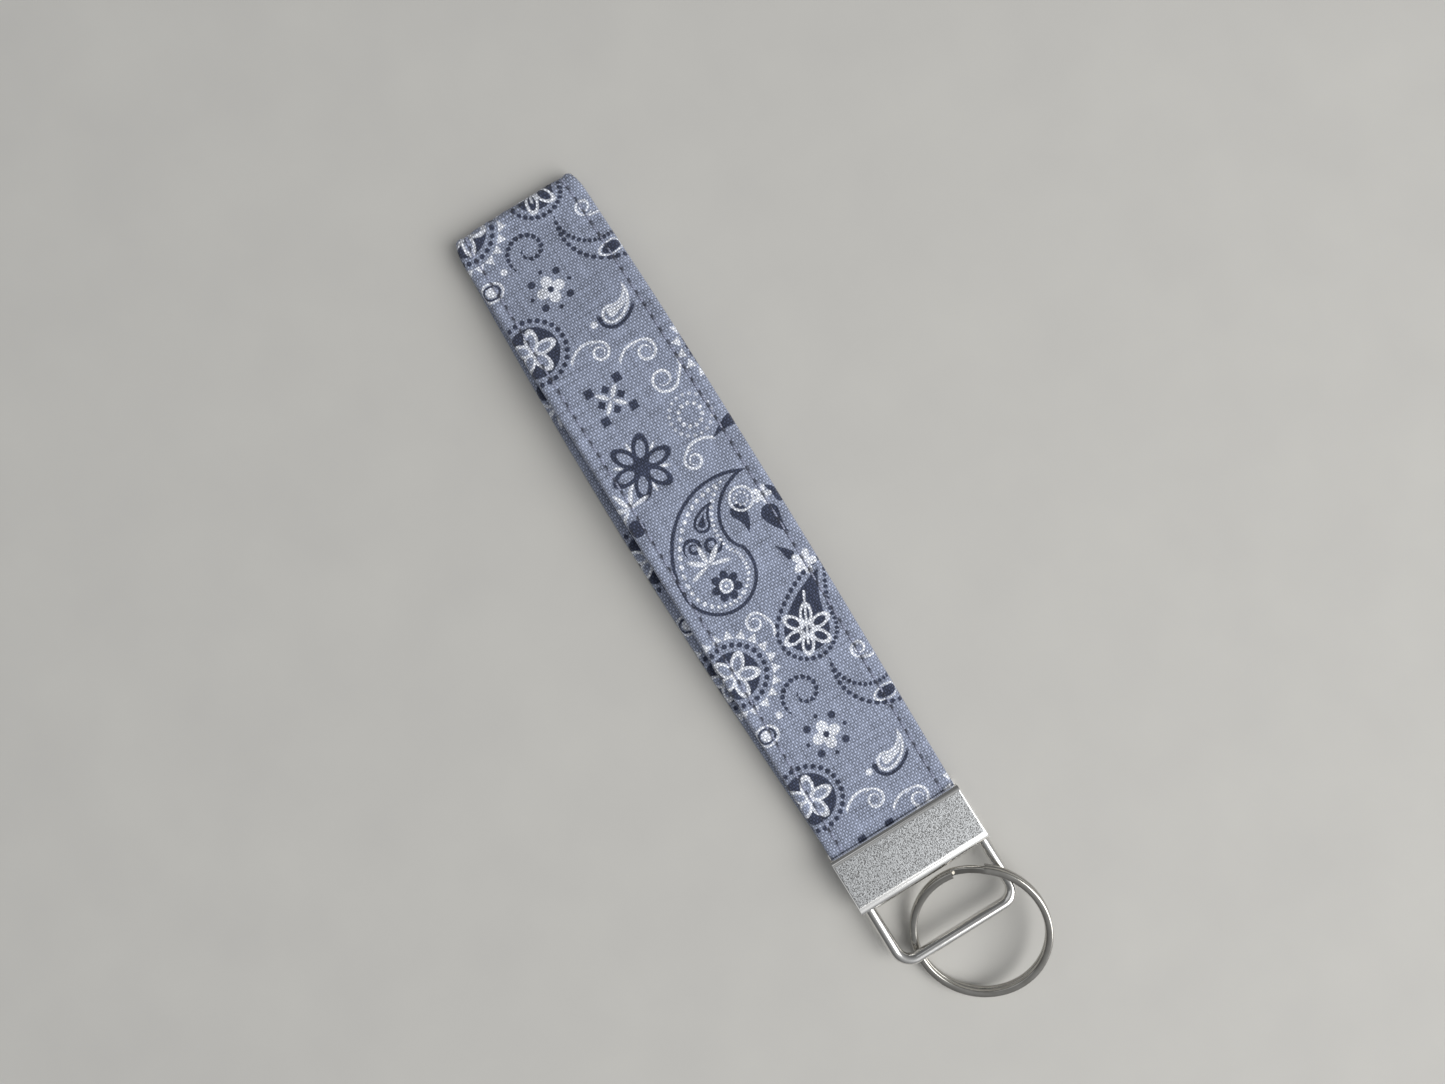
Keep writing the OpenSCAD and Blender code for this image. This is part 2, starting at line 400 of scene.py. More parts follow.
def curl_line(motif, tightness, body):
    """Distance from a spiral's line, and how far along it a place is. Past the radius body the
    line opens out into a straighter tail."""
    level = cotton.maths("LOGARITHM", motif.r, math.e)
    opened = level * OPEN_OUT + math.log(body) * (1 - OPEN_OUT)
    level = cotton.maths("SMOOTH_MIN", level, opened, OPEN_OUT_BLEND)
    past_body = motif.r > body
    spread = 1 + past_body * (1 / math.hypot(OPEN_OUT, tightness) - 1)
    off = cotton.wrap(level - motif.angle * tightness, math.pi * abs(tightness)) * motif.r
    off = off * spread
    along = (motif.r - off) * math.hypot(1, 1 / tightness)
    return off, along


def leaf_shape(motif, radius, tail, bend):
    """A leaf with a round head and a tail that bends to a point: distance from its edge, and
    how far along that edge a place is."""
    side = motif.y * math.copysign(1, bend) - abs(bend)
    swing = cotton.maths("ARCTAN2", motif.x, side * -1) * abs(bend)
    across = abs(cotton.length(motif.x, side) - abs(bend))
    lean = radius / tail
    upright = math.sqrt(1 - lean * lean)
    past_head = swing * upright - across * lean
    flank = across * upright + swing * lean - radius
    in_head = past_head < 0
    distance = flank + in_head * (motif.r - radius - flank)
    round_head = cotton.maths("ARCTAN2", past_head, flank + radius) * radius
    along = past_head + in_head * (round_head - past_head)
    return distance, along


def dotted(distance, along, spacing, radius):
    """Dots along a line."""
    return ink(cotton.length(distance, cotton.wrap(along, spacing / 2)), radius)


# %% [markdown]
# Each motif adds what it prints in white to one list and what it prints in navy to another. The
# petals of a flower are one oval, seen again and again about the flower's middle.

# %% Flowers
white_ink = []
navy_ink = []


def blossom(x, y):
    motif = Motif(x, y)
    petals = ink(oval(*around(motif, 4, 1.45), 1.15, 1.0))
    white_ink.append(petals * (1 - ink(motif.r, 0.6)))
    navy_ink.extend([dots(motif, 4, 3.45, 0.68, 45), dots(motif, 4, 3.65, 0.38), ink(motif.r, 0.5)])


def loop_flower(x, y, turn):
    motif = Motif(x, y, turn)
    loop = oval(*around(motif, 6, 3.1), 2.1, 1.15)
    navy_ink.extend([line(loop, 0.66), ink(motif.r, 0.8)])
    white_ink.append(ink(oval(*around(motif, 6, 3.6, 30), 1.1, 0.28)) * (1 - ink(loop, 0.4)))


def star_flower(x, y, size):
    motif = Motif(x, y)
    white_ink.append(ink(oval(*around(motif, 5, size), size * 0.9, size * 0.55)))


def ringed_flower(x, y, turn):
    motif = Motif(x, y, turn)
    petals = oval(*around(motif, 7, 1.75), 1.0, 0.75)
    navy_ink.append(ink(petals) * (1 - ink(motif.r, 1.25)))
    white_ink.extend([line(motif.r - 1.0, 0.45), ink(motif.r, 0.3)])


def hoop_flower(x, y):
    motif = Motif(x, y)
    white_ink.extend([line(motif.r - 2.0, 0.42), dots(motif, 9, 1.1, 0.22)])


# %% A lotus, a bud and the medallions
LOTUS_HALF_FAN = 1.9


def lotus(x, y, turn):
    motif = Motif(x, y, turn)
    fan = ink(abs(motif.angle), LOTUS_HALF_FAN, 0.1)
    white_ink.append(ink(oval(*around(motif, 7, 2.0), 1.7, 0.42)) * fan)


def bud(x, y):
    motif = Motif(x, y)
    hoop = oval(motif.x, motif.y, 1.7, 2.1)
    white_ink.extend([line(hoop, 0.5), ink(motif.r, 0.95)])
    navy_ink.append(line(hoop + 0.6, 0.4))


def medallion(x, y, border, turn, scallops=0):
    motif = Motif(x, y, turn)
    loop = oval(*around(motif, 5, 2.05), 1.75, 0.95)
    white_ink.extend([line(loop, 0.5), ink(motif.r, 0.5)])
    field = ink(motif.r, border - 1.15) * (1 - ink(loop))
    navy_ink.extend([field, dots(motif, round(border * 4.7), border, 0.47)])
    if scallops:
        along, across = around(motif, scallops, border + 1.75)
        white_ink.append(ink(abs(across) + along * 0.6, 0.5) * ink(along * -1, 0.7))


# %% Curls
def hook(x, y, tail, hand, body, length):
    """A curl whose tail ends in the direction tail, length away from its middle."""
    tightness = 0.13 * hand
    opened = math.log(length) * OPEN_OUT + math.log(body) * (1 - OPEN_OUT)
    motif = Motif(x, y, tail - math.degrees(opened / tightness))
    off, _ = curl_line(motif, tightness, body)
    shown = (motif.r > body * 0.38) * (motif.r < length)
    white_ink.append(ink(abs(off), 0.23) * shown)


def dotted_curl(x, y, tail, hand, outer):
    tightness = 0.2 * hand
    motif = Motif(x, y, tail - math.degrees(math.log(outer) / tightness))
    off, along = curl_line(motif, tightness, outer * 2)
    shown = (motif.r > 1.2) * (motif.r < outer)
    navy_ink.append(dotted(off, along, 1.1, 0.46) * shown)


def twin_curls(x, y, turn):
    motif = Motif(x, y, turn)
    off, _ = curl_line(motif, 0.17, 4)
    navy_ink.append(ink(abs(off), 0.33) * (motif.r > 0.5) * (motif.r < 1.9))


# %% Small leaves
def flame(x, y, turn, radius, tail, bend):
    distance, _ = leaf_shape(Motif(x, y, turn), radius, tail, bend)
    navy_ink.append(ink(distance))


def hooked_leaf(x, y, turn):
    motif = Motif(x, y, turn)
    distance, _ = leaf_shape(motif, 1.9, 7.5, 3.6)
    outside = ink(motif.y, 0.5, 0.8)
    white_ink.extend([line(distance + 0.45, 0.5), ink(distance + outside * 0.5, -0.85)])
    navy_ink.append(line(distance - 0.4, 0.62) * outside)


def dark_leaf(x, y, turn, size):
    distance, _ = leaf_shape(Motif(x, y, turn), size, size * 3, -size * 4)
    navy_ink.extend([line(distance, 0.5), ink(distance, -size * 0.5)])


# %% Large leaves, and the paisley
def dotted_leaf(x, y, turn):
    distance, along = leaf_shape(Motif(x, y, turn), 2.4, 13, -7.5)
    navy_ink.append(dotted(distance, along, 1.1, 0.42))
    inner = Motif(x, y - 1.9)
    hoop = oval(inner.x, inner.y, 1.2, 2.3)
    white_ink.append(line(hoop, 0.5))
    navy_ink.append(ink(hoop, -0.5))


def loops_in_teardrop(x, y, turn):
    motif = Motif(x, y, turn)
    distance, along = leaf_shape(motif, 5.1, 14, -20)
    loop = oval(*around(motif, 6, 2.6), 1.6, 0.9)
    stem = ink(abs(motif.y), 0.2) * ink(abs(motif.x - 2), 4.6)
    white_ink.extend([line(loop, 0.45), stem])
    navy_ink.append(ink(distance, -1.2))
    navy_ink.append(dotted(distance, along, 1.1, 0.42))


def paisley(x, y, turn):
    distance, along = leaf_shape(Motif(x, y, turn), 6.5, 21.5, -10.8)
    navy_ink.append(line(distance, 0.62))
    white_ink.append(dotted(distance + 1.3, along, 1.2, 0.34))


# %% Spots and squares
def spot(x, y, radius, prints):
    prints.append(ink(Motif(x, y).r, radius))


def pearl_ring(x, y, radius):
    motif = Motif(x, y)
    white_ink.extend([dots(motif, 11, radius, 0.34), dots(motif, 19, radius + 1.6, 0.28) * 0.7])


def crossed_squares(x, y):
    motif = Motif(x, y)
    corner = cotton.larger(abs(abs(motif.x) - 2.75), abs(abs(motif.y) - 2.75))
    along, across = around(motif, 4, 1.9)
    navy_ink.extend([ink(corner, 0.78), ink(abs(along) + abs(across), 0.85)])
    white_ink.append(ink(oval(*around(motif, 4, 1.5, 45), 1.2, 0.36)))


# %% [markdown]
# The motifs are laid out over one repeat of the cloth, in millimetres along and across it. Where
# prints meet, the larger of the two is taken, so no ink is laid twice.

# %% Layout of one repeat
blossom(-113.4, -1.8)
dotted_curl(-121.5, -1.3, -75, 1, 4.4)
dotted_leaf(-114.3, 12.7, 272)
hook(-123.2, 10.5, 45, 1, 1.7, 2.9)
bud(-118.5, -10.7)
spot(-120.5, -7.0, 0.6, white_ink)
medallion(-105.3, -10.0, 5.7, 90)
hooked_leaf(-104.0, 4.6, 80)
spot(-103.9, 1.1, 0.62, white_ink)
spot(-104.1, 2.6, 0.5, navy_ink)
hook(-99.4, -0.5, -98, 1, 2.0, 5.2)
hook(-95.6, 6.1, -98, 1, 2.3, 4.7)
hook(-90.1, 6.1, 118, 1, 2.7, 4.6)
crossed_squares(-91.7, -3.1)
medallion(-92.0, 18.2, 5.6, 0, scallops=20)
loop_flower(-79.4, -4.8, -27)
pearl_ring(-82.6, 6.8, 2.0)
flame(-78.5, 12.3, 275, 1.1, 4.6, 12)
hook(-75.7, 3.4, 108, -1, 1.95, 5.0)
spot(-71.0, -11.0, 1.5, navy_ink)
lotus(-74.3, -10.2, 200)
paisley(-57.2, -3.6, 193.4)
ringed_flower(-55.0, -3.2, 10)
lotus(-59.4, -3.9, 180)
twin_curls(-63.2, -4.6, 40)
twin_curls(-62.3, -1.6, 220)
dark_leaf(-65.9, -1.3, 150, 1.25)
hoop_flower(-66.2, 6.6)
flame(-64.6, 5.0, 20, 1.35, 4.2, -5)
flame(-61.6, 9.5, 0, 1.6, 4.6, 9)
flame(-63.4, 12.6, 200, 1.1, 3.4, 9)
star_flower(-65.0, 9.9, 0.9)
hook(-47.1, -2.4, 28, -1, 2.0, 4.0)
loops_in_teardrop(-41.6, 4.6, 154)
star_flower(-51.6, 10.1, 1.2)
flame(-53.9, 8.6, 200, 0.8, 3.0, 9)
medallion(-41.2, -9.8, 5.3, 70, scallops=20)
print(f"{len(white_ink)} white prints and {len(navy_ink)} navy ones")

# %% The prints joined
white = white_ink[0]
for printed in white_ink[1:]:
    white = cotton.larger(white, printed)
navy = navy_ink[0]
for printed in navy_ink[1:]:
    navy = cotton.larger(navy, printed)
print(f"cotton print: {len(cotton.nodes)} nodes")

# %% [markdown]
# ## Weave
# Plain weave is a chequerboard of tiny humps, one where each warp thread passes over a weft thread
# and one where it passes under. Two sine waves multiplied give exactly that. The humps are also
# painted into the colour as shade: light on their crowns, dark between them, and the over and under
# humps of different brightness. No two yarns are spun or dyed quite alike, so noise that is
# stretched along the threads adds light and dark streaks of real tone.

# %% Weave, with painted shade on its humps
WARP = 0.48
WEFT = 0.39
LONG_WAY = 0.09

cloth_x = cotton.node("SeparateXYZ", {0: cloth_uv}, "X")
cloth_y = cotton.node("SeparateXYZ", {0: cloth_uv}, "Y")
slub = cotton.grain(cloth_uv, 0.35, 3.0)
warp_streak = cotton.grain(cotton.vector("MULTIPLY", cloth_uv, (1.0, LONG_WAY, 1)), 1.5, 2.0)
weft_streak = cotton.grain(cotton.vector("MULTIPLY", cloth_uv, (LONG_WAY, 1.0, 1)), 1.7, 2.0)
warp_wave = cotton.maths("SINE", (cloth_x + slub * 0.5) * (math.pi / WARP))
weft_wave = cotton.maths("SINE", (cloth_y + slub * 0.5) * (math.pi / WEFT))
crossing = warp_wave * weft_wave
hump = abs(crossing) ** 0.5
yarn = cotton.grain(cloth_uv, 3.2, 2.0)
streak = warp_streak + weft_streak - 1
# Painted shade: the crossing terms make the thread humps light and the gaps between them dark. Yarn
# and streak add tone that varies at random.
weave_shade_and_tone = abs(crossing) * 0.95 + crossing * 0.44 + yarn * 0.35 + streak * 0.9 + 0.42
print("threads an inch:", round(25.4 / WEFT), "by", round(25.4 / WARP))

# %% [markdown]
# Where the thread dives in at the end of each stitch, a small dark spot of painted shade stands for
# the needle hole. The colours then go on in order: ground, navy, white and that painted hole shade,
# all of them multiplied by the weave's painted shade and yarn streaks, and the weave also raises a
# bump.

# %% Painted shade at the needle holes, and the cotton's colours
GROUND = (0.290, 0.325, 0.430, 1)
WHITE = (0.78, 0.81, 0.89, 1)
NAVY = (0.028, 0.036, 0.070, 1)
# The next colour is painted shade, for the inside of a needle hole.
HOLE_SHADE = (0.05, 0.055, 0.08, 1)
HOLE_R = 0.26
HOLE_STRETCH = 0.36
NAVY_COVER = 0.94
WHITE_COVER = 0.92
HOLE_SHADE_COVER = 0.9

from_hole = cotton.wrap(cloth_x - (cover_low.x - FOLD_AT) / MM, STITCH_PITCH / MM / 2)
from_row = abs(cloth_y) - ROW_Y / MM
# Painted shade: a small dark spot at each needle hole, stretched along the row.
hole_shade = cotton.within(cotton.length(from_hole * HOLE_STRETCH, from_row), HOLE_R, 0.20)

printed = cotton.mix(navy * NAVY_COVER, GROUND, NAVY)
printed = cotton.mix(white * WHITE_COVER, printed, WHITE)
printed = cotton.mix(hole_shade * HOLE_SHADE_COVER, printed, HOLE_SHADE)
shaded = cotton.vector("SCALE", printed)
cotton.feed(shaded.socket.node.inputs["Scale"], weave_shade_and_tone)
cotton.show(Base_Color=shaded)
cotton.bump(hump + yarn * 0.6, 0.09 * MM, 0.8)

# %% [markdown]
# ## Metal finishes
# The clamp is nickel-plated sheet, blasted to a fine satin on its faces and bright where it is bent
# and rubbed. On metal the roughness tells the story: it is high where the sheet was blasted and low
# where it is rubbed. Fine noise marks the pits of the blasting, painted dark as shade, and gives a
# shallow bump.

# %% Satin nickel
BRIGHT = (0.84, 0.83, 0.81, 1)
BLASTED = (0.42, 0.43, 0.44, 1)
# The next colour is painted shade, for the pits of the blasting.
PIT_SHADE = (0.13, 0.13, 0.13, 1)
LIP_RUB = 1.1 * MM
BEND_RUB = 1.9 * MM
END_RUB = 0.22 * MM


def metal(name, roughness):
    finish = Finish(name, Metallic=1.0, Roughness=roughness)
    finish.place = finish.node("TexCoord", {}, "Object")
    return finish


satin = metal("satin_nickel", 0.4)
satin_x = satin.node("SeparateXYZ", {0: satin.place}, "X")
satin_y = satin.node("SeparateXYZ", {0: satin.place}, "Y")
frost = satin.grain(satin.place, 4000, 3.0, 0.65)
cloudy = satin.grain(satin.place, 160, 2.0)
at_lip = satin.within(satin_x - LIP_X, LIP_RUB, 0.25 * MM)
at_bend = satin.within(END_X - satin_x, BEND_RUB, 0.3 * MM)
at_end = satin.within(clamp_high.y - abs(satin_y), END_RUB, 0.15 * MM)
rubbed = satin.larger(satin.larger(at_lip, at_bend), at_end)
blasted = 1 - rubbed
# Painted shade: the blasting pits, picked out by fine noise, get the dark colour.
pit_shade = satin.within(frost, 0.47, 0.12) * blasted
satin.show(
    Base_Color=satin.mix(pit_shade, satin.mix(blasted, BRIGHT, BLASTED), PIT_SHADE),
    Roughness=blasted * 0.40 + cloudy * 0.08 + 0.04,
)
satin.bump(frost * blasted, 0.06 * MM)
print(f"satin nickel: {len(satin.nodes)} nodes")

# %% [markdown]
# The bail and ring are bright plated wire. Plating is a little uneven in colour and gloss, and
# drawing the wire leaves fine marks. The ring is given the darker colour of the two.

# %% Bright nickel
def bright_metal(name, dull, clean, roughness, speck):
    """Plated wire with a haze and fine drawing marks."""
    finish = metal(name, roughness)
    haze = finish.grain(finish.place, 350, 3.0)
    marks = finish.grain(finish.place, speck, 2.0, 0.6)
    finish.show(
        Base_Color=finish.mix(haze, dull, clean),
        Roughness=haze * 0.10 + marks * 0.06 + (roughness - 0.06),
    )
    finish.bump(marks, 0.006 * MM, 0.5)
    print(f"{name}: roughness {roughness - 0.06:.2f} to {roughness + 0.10:.2f}")
    return finish


plated = bright_metal("polished_nickel", (0.70, 0.69, 0.67, 1), BRIGHT, 0.10, 2200)
ring_plate = bright_metal("ring_steel", (0.34, 0.32, 0.29, 1), (0.60, 0.59, 0.56, 1), 0.09, 1800)

# %% [markdown]
# ## Thread and interfacing
# The thread is two plies twisted together, so its bump runs in slanting stripes round each stitch,
# and the grooves between the plies are painted darker as shade. The interfacing is a felt of white
# fibres that only shows at the cut ends.

# %% Thread
thread = Finish("thread", Roughness=0.75, Sheen_Weight=0.3, Specular_IOR_Level=0.3)
twist_uv = thread.node("UVMap", {}, uv_map="twist")
twist_along = thread.node("SeparateXYZ", {0: twist_uv}, "X")
twist_round = thread.node("SeparateXYZ", {0: twist_uv}, "Y")
ply = abs(thread.maths("SINE", (twist_along * 2.0 + twist_round) * math.pi))
# Painted shade: the grooves between the plies get the dark colour, and the crowns get the light
# one.
thread.show(Base_Color=thread.mix(ply, (0.12, 0.13, 0.20, 1), (0.36, 0.39, 0.52, 1)))
thread.bump(ply, 0.05 * MM, 0.8)
print(f"thread: {len(thread.nodes)} nodes")

# %% Felt
felt = Finish("interfacing", Roughness=0.95, Specular_IOR_Level=0.2)
felt_place = felt.node("TexCoord", {}, "Object")
fibres = felt.grain(felt_place, 2400, 3.0, 0.7)
felt.show(Base_Color=felt.mix(fibres, (0.66, 0.66, 0.64, 1), (0.90, 0.90, 0.88, 1)))
felt.bump(fibres, 0.05 * MM)
print(f"interfacing: {len(felt.nodes)} nodes")

# %% [markdown]
# ## The cotton strap
# The strip is thin, and its look is in its edge and its puckers. Simulating it would lose both, so
# it is shaped directly: two fine grids, one for each face, are welded along the long edges, and
# each point is moved out by half the strap's thickness there. The thickness rounds off towards
# the edges, dips along the rows of stitches and swells a little between them.

# %% Thickness of the strap from place to place
EDGE_ROUND = 1.15 * MM
ROW_DIP = 0.20 * MM
ROW_SPREAD = 0.75 * MM
ROW_BEAT = 0.2
PUCKER = 0.05 * MM
PUCKER_REACH = 2.6
PINCH = 0.16 * MM
PINCH_REACH = 1.6 * MM


def lip_pinch(along):
    """1 where the clamp's lips press on the strap, fading a few millimetres away from them."""
    x = float(np.interp(along, line_at, line_x))
    return math.exp(-(max(LIP_X - x, 0) / PINCH_REACH) ** 2)


def half_thickness(along, across):
    to_edge = max(HALF_W - abs(across), 0)
    rounding = min(to_edge / EDGE_ROUND, 1)
    body = STRAP_T / 2 * math.sqrt(1 - (1 - rounding) ** 2)
    from_row = (abs(across) - ROW_Y) / ROW_SPREAD
    in_row = math.exp(-from_row * from_row)
    beat = math.cos(2 * math.pi * along / STITCH_PITCH)
    body -= in_row * ROW_DIP * (1 - ROW_BEAT + ROW_BEAT * beat) * rounding
    near_row = math.exp(-(from_row / PUCKER_REACH) ** 2) * (1 - in_row)
    body -= PUCKER * beat * near_row * rounding
    return body - PINCH * lip_pinch(along) * rounding


print("thickness at a stitch, mm:", round(2 * half_thickness(STRAP_LEN / 4, ROW_Y) / MM, 2))

# %% [markdown]
# Cloth is never quite flat between its seams. Smooth noise of three sizes gives it broad swells, a
# few creases by the fold and the fine drag lines that sewing pulls into it.

# %% Ripples of the cloth's faces
SWELL = 0.05 * MM
CREASE = 0.22 * MM
CREASE_REACH = 7 * MM
DRAG = 0.035 * MM


def soft_noise(x, y, size, seed):
    """Smooth noise from about -1 to 1 with features of a size."""
    return noise.noise(Vector((x / size, y / size, seed)))


def face_ripple(along, across, face):
    """How far a face of the cloth stands out at a place. The edges stay true."""
    by_fold = math.exp(-((along - FOLD_AT) / CREASE_REACH) ** 2)
    swell = SWELL * soft_noise(along, across, 5 * MM, face * 3.7)
    crease = CREASE * by_fold * soft_noise(along, across * 2.2, 2.6 * MM, 9 + face)
    drag = DRAG * soft_noise(along + across * 0.8, across * 0.35, 1.3 * MM, 20 + face)
    return (swell + crease + drag) * min((HALF_W - abs(across)) / EDGE_ROUND, 1)


def no_ripple(along, across, face):
    return 0.0


fold_ripple = [face_ripple(FOLD_AT, y * MM, 1) / MM for y in range(-11, 12)]
print(f"ripple across the fold: {min(fold_ripple):.2f} to {max(fold_ripple):.2f} mm")

# %% [markdown]
# The grid is finer towards the edges, where the strap curves most. The print has to run round the
# edge without stretching, so its UV map measures the cloth round the curve.

# %% Places across the cloth
EDGE_CROWD = 1.35


def even_edges(share):
    """Places across from -1 to 1, closer together near the edges."""
    return math.copysign(1 - (1 - abs(share)) ** EDGE_CROWD, share)


def cloth_across(across, half_width):
    """How far across the cloth a place is, measured round the strap's rounded edge."""
    rounding = min(max(half_width - abs(across), 0) / EDGE_ROUND, 1)
    round_edge = EDGE_ROUND * (rounding - 1 + math.pi / 2 - math.acos(1 - rounding))
    return math.copysign(abs(across) + round_edge, across)


print("cloth over half the width, mm:", round(cloth_across(HALF_W, HALF_W) / MM, 2))

# %% Two faces, welded along the edges
ALONG_CELLS = 560
ACROSS_CELLS = 52


def strap_shape(half_width, thickness, ripple, along_cells, across_cells):
    """A closed strip along the route. Its UV map holds millimetres along and across."""
    shape = bmesh.new()
    layer = shape.loops.layers.uv.new("cloth")
    flat = {}
    for face in (1, -1):
        grid = bmesh.ops.create_grid(shape, x_segments=along_cells, y_segments=across_cells, size=1)
        if face < 0:
            faces = list(dict.fromkeys(f for vert in grid["verts"] for f in vert.link_faces))
            bmesh.ops.reverse_faces(shape, faces=faces)
        for vert in grid["verts"]:
            along = (vert.co.x + 1) / 2 * STRAP_LEN
            across = even_edges(vert.co.y) * half_width
            flat[vert] = (along, across, face)
    for face in shape.faces:
        for loop in face.loops:
            along, across, _ = flat[loop.vert]
            along_uv = (along - FOLD_AT + cover_low.x) / MM
            loop[layer].uv = (along_uv, cloth_across(across, half_width) / MM)
    for vert, (along, across, face) in flat.items():
        out = face * (thickness(along, across) + ripple(along, across, face))
        vert.co = strap_place(along, across, out)
    bmesh.ops.remove_doubles(shape, verts=shape.verts, dist=0.002 * MM)
    ends = [edge for edge in shape.edges if edge.is_boundary]
    bmesh.ops.holes_fill(shape, edges=ends)
    return shape


strap = piece(
    "cotton_strap",
    strap_shape(HALF_W, half_thickness, face_ripple, ALONG_CELLS, ACROSS_CELLS),
    "strap", cotton, ["fabric_cover"], smooth=60,
)

# %% [markdown]
# The interfacing is the same strip again, narrower, thinner and plain, so it needs few cells.

# %% The interfacing inside the strap
CORE_HALF_T = 0.38 * MM
CORE_HALF_W = core_high.y - 0.6 * MM


def core_thickness(along, across):
    return CORE_HALF_T * min((CORE_HALF_W - abs(across)) / CORE_HALF_T, 1)


core = piece(
    "interfacing_strip",
    strap_shape(CORE_HALF_W, core_thickness, no_ripple, 200, 4),
    "strap", felt, ["interfacing_core"],
)

# %% [markdown]
# ## Stitches
# A lockstitch shows as a short raised dash that dives into a hole at each end. One dash is a small
# grid rolled into a tube, thinner at its ends. The rows repeat it at the stitch pitch, needle
# thread on the loop's outer faces and bobbin thread on its inner ones.

# %% One stitch, and a row of them
THREAD_R = 0.19 * MM
STITCH_SHARE = 0.84
STITCH_CELLS = 7
STITCH_SIDES = 7
STITCH_LIFT = 0.04 * MM
STITCH_DIVE = 0.20 * MM
END_TAPER = 0.35
DIVE_CURVE = 0.6


def add_stitch(shape, layer, start, row, face):
    """A dash of thread on one face, from one needle hole towards the next."""
    grid = bmesh.ops.create_grid(shape, x_segments=STITCH_CELLS, y_segments=STITCH_SIDES, size=1)
    flat = {vert: ((vert.co.x + 1) / 2, (vert.co.y + 1) / 2) for vert in grid["verts"]}
    for cell in dict.fromkeys(f for vert in grid["verts"] for f in vert.link_faces):
        for loop in cell.loops:
            share, turn = flat[loop.vert]
            loop[layer].uv = (share * STITCH_SHARE * STITCH_PITCH / MM, turn)
    for vert, (share, turn) in flat.items():
        along = start + (share * STITCH_SHARE + (1 - STITCH_SHARE) / 2) * STITCH_PITCH
        arch = math.sin(math.pi * share)
        radius = THREAD_R * max(arch, 0) ** END_TAPER
        dive = STITCH_DIVE * (1 - arch ** DIVE_CURVE)
        middle = half_thickness(along, row) + STITCH_LIFT - dive
        around_wire = 2 * math.pi * turn
        across = row + radius * math.cos(around_wire) * face
        vert.co = strap_place(along, across, face * middle + radius * math.sin(around_wire))


def stitch_row(side, face):
    shape = bmesh.new()
    layer = shape.loops.layers.uv.new("twist")
    for count in range(int(STRAP_LEN / STITCH_PITCH)):
        add_stitch(shape, layer, count * STITCH_PITCH, side * ROW_Y, face)
    bmesh.ops.remove_doubles(shape, verts=shape.verts, dist=0.001 * MM)
    bmesh.ops.recalc_face_normals(shape, faces=shape.faces)
    return shape


# %% The four rows
for thread_name, face in (("needle", 1), ("bobbin", -1)):
    for side_name, side in (("left", -1), ("right", 1)):
        row = piece(
            f"{thread_name}_stitches_{side_name}", stitch_row(side, face),
            "strap", thread, [f"{thread_name}_thread_{side_name}"], smooth=180,
        )
print(int(STRAP_LEN / STITCH_PITCH), "stitches a row")

# %% [markdown]

# %% [markdown]
# ## Bending metal
# Every metal piece here is bar, wire or sheet that was bent, so it is made the same way: start
# with the end face, draw its outline straight for a while, then spin it round a bend, and repeat.
# Only the outline is carried along, so no wall is left inside, and the far end is capped last.

# %% Drawing and bending a section
class Bar:
    """A solid that grows from an end face by straight draws and bends."""

    def __init__(self, shape, face):
        self.shape = shape
        self.outline = list(face.edges)

    def draw(self, move):
        grown = bmesh.ops.extrude_edge_only(self.shape, edges=self.outline)["geom"]
        corners = [item for item in grown if isinstance(item, bmesh.types.BMVert)]
        bmesh.ops.translate(self.shape, verts=corners, vec=move)
        self.outline = [item for item in grown if isinstance(item, bmesh.types.BMEdge)]

    def bend(self, centre, axis, degrees, steps, rise=0.0):
        """Spins the outline about a centre, and lifts it by rise at each step."""
        corners = list(dict.fromkeys(vert for edge in self.outline for vert in edge.verts))
        spun = bmesh.ops.spin(
            self.shape, geom=corners + self.outline, cent=centre, axis=axis,
            dvec=(0, 0, rise), angle=math.radians(degrees), steps=steps, use_duplicate=False,
        )["geom_last"]
        self.outline = [item for item in spun if isinstance(item, bmesh.types.BMEdge)]

    def close(self):
        bmesh.ops.edgeloop_fill(self.shape, edges=self.outline)
        bmesh.ops.recalc_face_normals(self.shape, faces=self.shape.faces)


def soften(made, width):
    """Breaks the sharp edges, as tumbling and plating do."""
    bevel = made.modifiers.new("broken edges", "BEVEL")
    bevel.width = width
    bevel.segments = 2
    bevel.limit_method = "ANGLE"
    bevel.angle_limit = math.radians(38)
    bevel.harden_normals = True


# %% [markdown]
# ## Crimped clamp
# The clamp is one strip of sheet. Its lips turn in and bite the strap with a row of teeth, and its
# far side is the closed end, slotted at both corners for the bail's legs to swing in.

# %% The bent sheet
LIP_R = 1.0 * MM
BEND_R = 1.5 * MM
BEND_STEPS = 12

across_y = (0, 1, 0)
clamp_shape = bmesh.new()
lip_end = [
    clamp_shape.verts.new((x, y, CLAMP_H - LIP_R))
    for x, y in (
        (LIP_X, clamp_low.y), (LIP_X + SHEET_T, clamp_low.y),
        (LIP_X + SHEET_T, clamp_high.y), (LIP_X, clamp_high.y),
    )
]
sheet = Bar(clamp_shape, clamp_shape.faces.new(lip_end))
flat_run = END_X - BEND_R - (LIP_X + LIP_R)
sheet.bend((LIP_X + LIP_R, 0, CLAMP_H - LIP_R), across_y, 90, BEND_STEPS)
sheet.draw((flat_run, 0, 0))
sheet.bend((END_X - BEND_R, 0, CLAMP_H - BEND_R), across_y, 90, BEND_STEPS)
sheet.draw((0, 0, 2 * BEND_R - CLAMP_H))
sheet.bend((END_X - BEND_R, 0, BEND_R), across_y, 90, BEND_STEPS)
sheet.draw((-flat_run, 0, 0))
sheet.bend((LIP_X + LIP_R, 0, LIP_R), across_y, 90, BEND_STEPS)
sheet.close()
